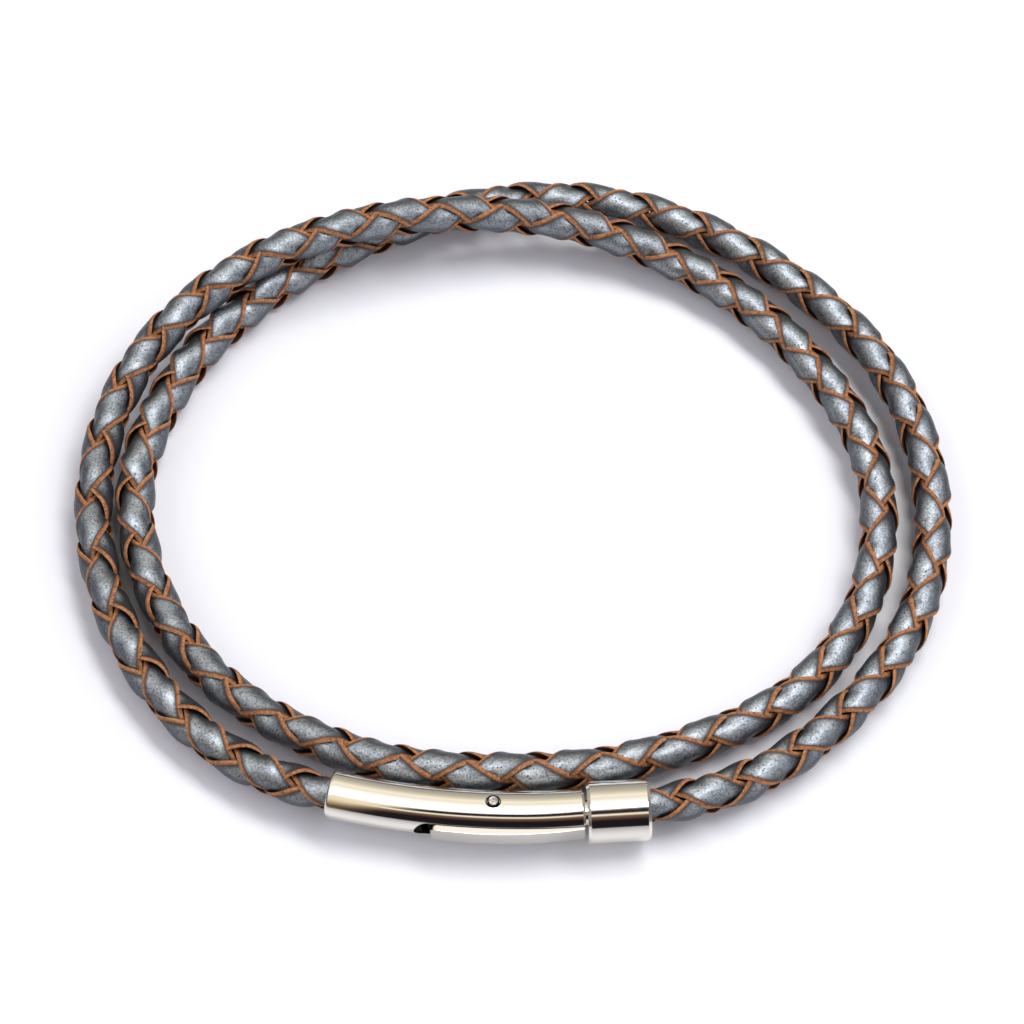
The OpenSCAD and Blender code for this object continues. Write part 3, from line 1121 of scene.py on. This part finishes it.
@dataclass(frozen=True)
class PewterLeather:
    """Grain leather with a metallic pewter coat, and raw tan cut edges."""

    section: StripSection
    coat: tuple[float, float, float] = (0.44, 0.483, 0.535)
    coat_dark: tuple[float, float, float] = (0.165, 0.186, 0.218)
    # shade: the colour of painted shade on the coat's flanks and along its borders by the cut edges
    shade: tuple[float, float, float] = (0.055, 0.062, 0.075)
    pore: tuple[float, float, float] = (0.03, 0.033, 0.04)
    tan: tuple[float, float, float] = (0.47, 0.205, 0.078)
    tan_dark: tuple[float, float, float] = (0.165, 0.06, 0.022)
    # The colour of painted shade along the cut edges' rims
    tan_rim_shade: tuple[float, float, float] = (0.075, 0.027, 0.012)
    grain_scale: float = 6200.0
    crease_scale: float = 2400.0
    patch_scale: float = 900.0
    pore_scale: float = 3300.0
    fibre_scale: float = 5200.0
    rag_scale: float = 3000.0
    metal: float = 0.85
    roughness: float = 0.35
    relief: float = 0.035

    def material(self) -> bpy.types.Material:
        """Builds the material."""
        made, work = fresh_material("pewter_leather")
        place = work.add("ShaderNodeTexCoord", output="Object")
        lay = work.add("ShaderNodeSeparateXYZ", inputs={
            "Vector": work.add("ShaderNodeUVMap", {"uv_map": "UVMap"})})
        # Where the cut edges are, and how far a point lies from the middle of one
        ragged = work.add("ShaderNodeTexNoise", inputs={
            "Vector": place, "Scale": self.rag_scale, "Detail": 2.0}) - 0.5
        edge = lay.out("Y") + ragged * 0.014
        share, half = self.section.face_share, self.section.cut_half
        cut = 1 - edge.ramp(-0.002, 0.006) * (1 - edge.ramp(share - 0.006, share + 0.002))
        lead, trail = (edge - middle for middle in self.section.cut_middles)
        away = lead.step("ABSOLUTE", lead).step(
            "MINIMUM", lead.step("ABSOLUTE", lead), trail.step("ABSOLUTE", trail)) / half
        inward = edge.step("MINIMUM", edge, share - edge) / share
        # The grain face's relief, from fine to coarse, and the fibres of the cut edges
        grain = work.add("ShaderNodeTexNoise", inputs={
            "Vector": place, "Scale": self.grain_scale, "Detail": 3.0, "Roughness": 0.7})
        crease = work.add("ShaderNodeTexNoise", inputs={
            "Vector": place, "Scale": self.crease_scale, "Detail": 2.0, "Distortion": 1.2})
        patch = work.add("ShaderNodeTexNoise", inputs={
            "Vector": place, "Scale": self.patch_scale, "Detail": 2.0})
        pores = work.add("ShaderNodeTexVoronoi", {"feature": "F1"}, {
            "Vector": place, "Scale": self.pore_scale, "Randomness": 1.0}, "Distance")
        pore = (1 - pores.ramp(0.13, 0.26)) * patch.ramp(0.35, 0.55)
        fibre = work.add("ShaderNodeTexNoise", inputs={
            "Vector": place, "Scale": self.fibre_scale, "Detail": 3.0, "Roughness": 0.6})
        turned_away = work.add("ShaderNodeLayerWeight", inputs={"Blend": 0.5}, output="Facing")
        # The coat: tone worn in the grain, painted shade on flanks that turn away and along the
        # face's borders by the cut edges, and dark in pores
        coat = work.colour(patch.ramp(0.3, 0.7) * 0.35 + grain.ramp(0.40, 0.60) * 0.65,
                           self.coat_dark, self.coat)
        # Painted shade: the coat darkens towards the shade colour where the surface turns away
        coat = work.colour(turned_away.ramp(0.06, 0.5) * 0.8, coat, self.shade)
        # Painted shade along the grain face's borders, where the crossing strip shadows it
        coat = work.colour((1 - inward.ramp(0.0, 0.13)) * 0.7, coat, self.shade)
        coat = work.colour(pore * 0.85, coat, self.pore)
        # The raw cut edges: mottled tan, with painted shade along their rims so that their middles
        # look lit and rounded
        raw = work.colour(fibre.ramp(0.36, 0.6) * 0.65 + crease.ramp(0.36, 0.58) * 0.35,
                          self.tan_dark, self.tan)
        # Painted shade on the cut edges' rims
        raw = work.colour(away.ramp(0.3, 1.0), raw, self.tan_rim_shade)
        height = grain * 0.8 + crease * 0.5 - pore * 0.3
        bump = work.add("ShaderNodeBump", inputs={
            "Strength": 0.9, "Distance": self.relief * MM,
            "Height": height + (fibre * 1.2 - height) * cut})
        shader = work.add("ShaderNodeBsdfPrincipled", inputs={
            "Base Color": work.colour(cut, coat, raw),
            "Metallic": self.metal * (1 - cut),
            "Roughness": self.roughness + grain * 0.14 + 0.2 * cut,
            "Normal": bump})
        work.add("ShaderNodeOutputMaterial", inputs={"Surface": shader})
        return made


@dataclass(frozen=True)
class PolishedSteel:
    """Mirror-polished stainless steel with a trace of wear."""

    name: str = "polished_steel"
    colour: tuple[float, float, float] = (0.80, 0.78, 0.745)
    roughness: float = 0.06
    haze_scale: float = 900.0
    haze: float = 0.03

    def material(self) -> bpy.types.Material:
        """Builds the material."""
        made, work = fresh_material(self.name)
        place = work.add("ShaderNodeTexCoord", output="Object")
        haze = work.add("ShaderNodeTexNoise", inputs={
            "Vector": place, "Scale": self.haze_scale, "Detail": 3.0})
        shader = work.add("ShaderNodeBsdfPrincipled", inputs={
            "Base Color": (*self.colour, 1.0), "Metallic": 1.0,
            "Roughness": self.roughness + haze * self.haze})
        work.add("ShaderNodeOutputMaterial", inputs={"Surface": shader})
        return made


@dataclass(frozen=True)
class RivetedSteel:
    """The pin's hammered end: dull rough steel, with painted shade round its rim where it sits in its
    hole.
    """

    middle: tuple[float, float]
    face_radius: float = 0.31
    face: tuple[float, float, float] = (0.50, 0.48, 0.45)
    dent: tuple[float, float, float] = (0.16, 0.15, 0.14)
    # seat: the colour of painted shade round the pin's rim
    seat: tuple[float, float, float] = (0.03, 0.027, 0.025)
    dent_scale: float = 5200.0
    relief: float = 0.06
    roughness: float = 0.42

    def material(self) -> bpy.types.Material:
        """Builds the material."""
        made, work = fresh_material("riveted_steel")
        place = work.add("ShaderNodeTexCoord", output="Object")
        across = work.vector("MULTIPLY", work.vector(
            "SUBTRACT", place, (self.middle[0] * MM, self.middle[1] * MM, 0.0)), (1.0, 1.0, 0.0))
        out = work.vector("LENGTH", across, output=1) / MM
        dents = work.add("ShaderNodeTexNoise", inputs={
            "Vector": place, "Scale": self.dent_scale, "Detail": 3.0, "Roughness": 0.6})
        dull = work.colour(dents.ramp(0.35, 0.6), self.dent, self.face)
        # Painted shade round the rim of the pin's face, where it meets its hole
        rim = (out + (dents - 0.5) * 0.06).ramp(self.face_radius - 0.02, self.face_radius + 0.03)
        bump = work.add("ShaderNodeBump", inputs={
            "Strength": 0.9, "Distance": self.relief * MM, "Height": dents})
        shader = work.add("ShaderNodeBsdfPrincipled", inputs={
            "Base Color": work.colour(rim, dull, self.seat),
            "Metallic": 1.0, "Roughness": self.roughness, "Normal": bump})
        work.add("ShaderNodeOutputMaterial", inputs={"Surface": shader})
        return made


# The studio


@dataclass(frozen=True)
class SoftLight:
    """A rectangular lamp that faces the bracelet, in metres and watts."""

    name: str
    way: tuple[float, float, float]
    width: float
    power: float
    depth: float = 0.16
    far: float = 0.6
    on_matt: bool = True
    in_mirrors: bool = True

    def build(self, target: Vector) -> None:
        """Hangs the lamp on its side of the target."""
        light = bpy.data.lights.new(self.name, "AREA")
        light.shape, light.size, light.size_y = "RECTANGLE", self.width, self.depth
        light.energy = self.power
        lamp = linked(self.name, light)
        way = Vector(self.way).normalized()
        lamp.location = target + way * self.far
        lamp.rotation_euler = way.to_track_quat("Z", "Y").to_euler()
        lamp.visible_diffuse, lamp.visible_glossy = self.on_matt, self.in_mirrors


@dataclass(frozen=True)
class Studio:
    """Pale floor, soft light and the camera at the photograph's angle.

    The room's colours run over its tilt: 0 is the back's horizon, 0.5 overhead and 1 the
    front's horizon. Pairs named as edges are where a change begins and ends.
    """

    target: tuple[float, float, float] = (0.0, -1.4, 1.5)
    distance: float = 220.0
    elevation: float = 62.0
    sensor: float = 36.0
    lens_widths: float = 2970 / 1024
    floor_half: float = 2.5
    floor_lit: tuple[float, float, float] = (0.90, 0.895, 0.88)
    floor_seen: tuple[float, float, float] = (0.91, 0.915, 0.95)
    strength: float = 1.15
    skew: float = 28.0
    skew_from: float = 0.04
    skew_most: float = 0.4
    front_edge: tuple[float, float] = (20.0, 22.5)
    left_edge: tuple[float, float] = (-0.42, -0.30)
    right_edge: tuple[float, float] = (0.75, 0.85)
    flank_edge: tuple[float, float] = (0.55, 0.92)
    flank: tuple[float, float, float] = (0.14, 0.15, 0.17)
    tent_edge: tuple[float, float] = (0.3, 0.6)
    tent_side: float = 1.12
    tent_top: float = 0.07
    tent_tint: tuple[float, float, float] = (0.98, 0.97, 1.05)
    overhead: SoftLight = SoftLight(
        "overhead", (0.0, -math.tan(math.radians(4.0)), 1.0), 0.22, 1.3, on_matt=False)
    window: SoftLight = SoftLight("window", (0.45, 0.45, 1.0), 0.5, 2.7, in_mirrors=False)

    WALL = [(0.0, (0.30, 0.30, 0.28)), (0.07, (0.40, 0.385, 0.33)), (0.15, (0.52, 0.48, 0.385)),
            (0.22, (0.74, 0.67, 0.53)), (0.28, (1.05, 0.95, 0.76)), (0.34, (0.92, 0.86, 0.73)),
            (0.40, (1.12, 1.08, 0.99)), (0.46, (1.3, 1.3, 1.3)), (1.0, (1.3, 1.3, 1.3))]
    FRONT = [(0.62, (0.022, 0.014, 0.022)), (0.682, (0.022, 0.014, 0.020)),
             (0.700, (1.1, 1.0, 0.8)), (0.715, (1.0, 0.9, 0.7)), (0.735, (0.22, 0.13, 0.095)),
             (0.79, (0.075, 0.038, 0.03)), (0.83, (0.014, 0.010, 0.010)),
             (0.94, (0.012, 0.011, 0.014)), (0.978, (0.02, 0.02, 0.024)),
             (0.988, (0.50, 0.49, 0.48))]
    WARM = [(0.62, (1.0, 0.90, 0.68)), (0.74, (0.85, 0.71, 0.48)), (0.84, (0.42, 0.30, 0.17)),
            (0.92, (0.14, 0.085, 0.05)), (0.98, (0.18, 0.14, 0.10))]

    def camera(self) -> None:
        """Places the camera."""
        eye = bpy.data.cameras.new("camera")
        eye.sensor_width = self.sensor
        eye.lens = self.lens_widths * self.sensor
        eye.clip_start = 0.01
        camera = linked("camera", eye)
        e = math.radians(self.elevation)
        back = Vector((0.0, -math.cos(e), math.sin(e)))
        camera.location = (Vector(self.target) + back * self.distance) * MM
        camera.rotation_euler = (-back).to_track_quat("-Z", "Y").to_euler()
        bpy.context.scene.camera = camera

    def floor(self) -> None:
        """Lays the pale floor."""
        h = self.floor_half
        mesh = bpy.data.meshes.new("floor")
        mesh.from_pydata([(-h, -h, 0), (h, -h, 0), (h, h, 0), (-h, h, 0)], [], [(0, 1, 2, 3)])
        made, work = fresh_material("floor")
        seen = work.add("ShaderNodeLightPath", output="Is Camera Ray")
        shader = work.add("ShaderNodeBsdfPrincipled", inputs={
            "Base Color": work.colour(seen, self.floor_lit, self.floor_seen), "Roughness": 0.25})
        work.add("ShaderNodeOutputMaterial", inputs={"Surface": shader})
        mesh.materials.append(made)
        linked("floor", mesh)

    def room(self, work: NodeWork, way: Value) -> Value:
        """The room as the polished steel mirrors it.

        A warm wall stands behind and the light is white overhead. The front is dark with
        one thin warm strip, which climbs towards the right, and pale only by the floor.
        Far to the left the front is warm, and both flanks are dark.

        Args:
            work: The world's node work.
            way: The direction looked in, split into its parts.

        Returns:
            The room's colour that way.
        """
        forward, aside = -way.out("Y"), way.out("X")
        tilt = forward.step("ARCTAN2", forward, way.out("Z")) * (180 / math.pi)
        side = aside / forward.step("MAXIMUM", forward, 0.05)
        wall = work.add("ShaderNodeValToRGB", {"stops": self.WALL}, {"Fac": tilt / 180 + 0.5})
        past = side.step("MAXIMUM", side - self.skew_from, 0.0)
        slid = tilt + side.step("MINIMUM", past, self.skew_most) * self.skew
        front = work.add("ShaderNodeValToRGB", {"stops": self.FRONT}, {"Fac": slid / 180 + 0.5})
        warm = work.add("ShaderNodeValToRGB", {"stops": self.WARM}, {"Fac": tilt / 180 + 0.5})
        right = 1 - side.ramp(*self.right_edge)
        room = work.colour(slid.ramp(*self.front_edge) * right, wall,
                           work.colour(side.ramp(*self.left_edge), warm, front))
        return work.colour(aside.step("ABSOLUTE", aside).ramp(*self.flank_edge), room, self.flank)

    def sky(self) -> None:
        """Surrounds the scene with the room, and lights matt surfaces as a tent does.

        The tent is bright at both sides and dark overhead, so that the floor darkens in
        the gaps of the cord. The camera sees plain white.
        """
        world = bpy.data.worlds.new("studio")
        world.use_nodes = True
        world.node_tree.nodes.clear()
        bpy.context.scene.world = world
        work = NodeWork(world.node_tree)
        way = work.add("ShaderNodeSeparateXYZ", inputs={
            "Vector": work.add("ShaderNodeTexCoord", output="Generated")})
        aside = way.out("X")
        level = aside.step("ABSOLUTE", aside).ramp(*self.tent_edge) * self.tent_side \
            + self.tent_top
        tent = work.add("ShaderNodeCombineXYZ", inputs={
            axis: level * share for axis, share in zip("XYZ", self.tent_tint)})
        paths = work.add("ShaderNodeLightPath", output="Is Camera Ray")
        lit = work.colour(paths.out("Is Diffuse Ray"), self.room(work, way), tent)
        shader = work.add("ShaderNodeBackground", inputs={
            "Color": work.colour(paths, lit, (1.0, 1.0, 1.0)), "Strength": self.strength})
        work.add("ShaderNodeOutputWorld", inputs={"Surface": shader})

    def build(self) -> None:
        """Builds camera, floor and light."""
        self.camera()
        self.floor()
        self.sky()
        for light in (self.overhead, self.window):
            light.build(Vector(self.target) * MM)
        bpy.context.scene.view_settings.view_transform = "Standard"


def main() -> None:
    """Builds the pieces in order, and reports each."""
    logging.basicConfig(level=logging.INFO, format="%(name)s %(message)s")
    Studio().build()
    section = StripSection()
    leather = PewterLeather(section).material()
    Braid(CordRoute(), section, BraidLay(), leather).build()
    steel = PolishedSteel().material()
    bend = ClaspBend()
    pin = ClaspPin()
    seat = pin.place(bend)(0.0, 0.0, 0.0)
    dull = RivetedSteel((seat.x, seat.y)).material()
    ClaspBarrel().build(bend, steel)
    ClaspLever().build(bend, steel)
    EndRing().build(bend, steel)
    pin.build(bend, dull)


if __name__ == "__main__":
    main()
